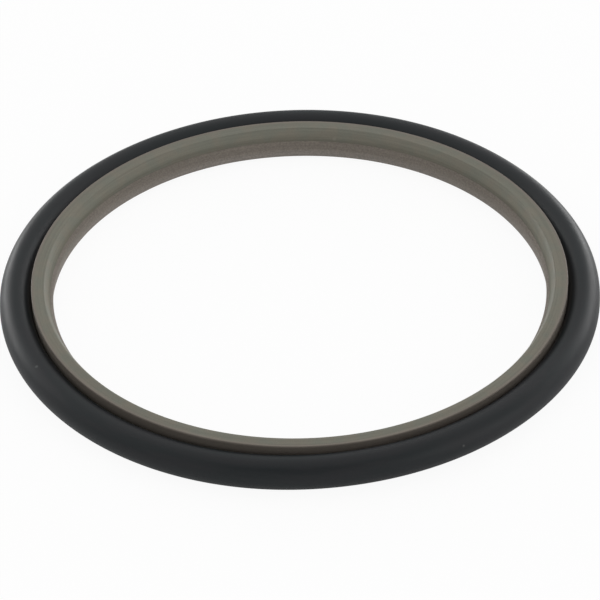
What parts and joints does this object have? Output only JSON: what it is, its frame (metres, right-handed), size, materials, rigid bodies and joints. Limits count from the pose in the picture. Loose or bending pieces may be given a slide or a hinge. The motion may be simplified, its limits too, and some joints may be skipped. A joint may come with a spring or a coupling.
{
  "type": "rod seal",
  "caption": "Round rod seal for a hydraulic cylinder: a slide ring with a stepped sealing lip in its bore, inside a stretched rubber ring of round section.",
  "frame": {"origin": "on the seal's axis, in the plane of the slide ring's back face", "axes": "+Z along the rod's axis, towards the pressure side of the seal"},
  "size_m": [0.0974, 0.0974, 0.006],
  "materials": {
    "filled_ptfe": "fine turned, satin",
    "black_rubber": "moulded, matt"
  },
  "bodies": {
    "root": {"slide_ring": "filled_ptfe", "o_ring": "black_rubber"}
  },
  "joints": []
}
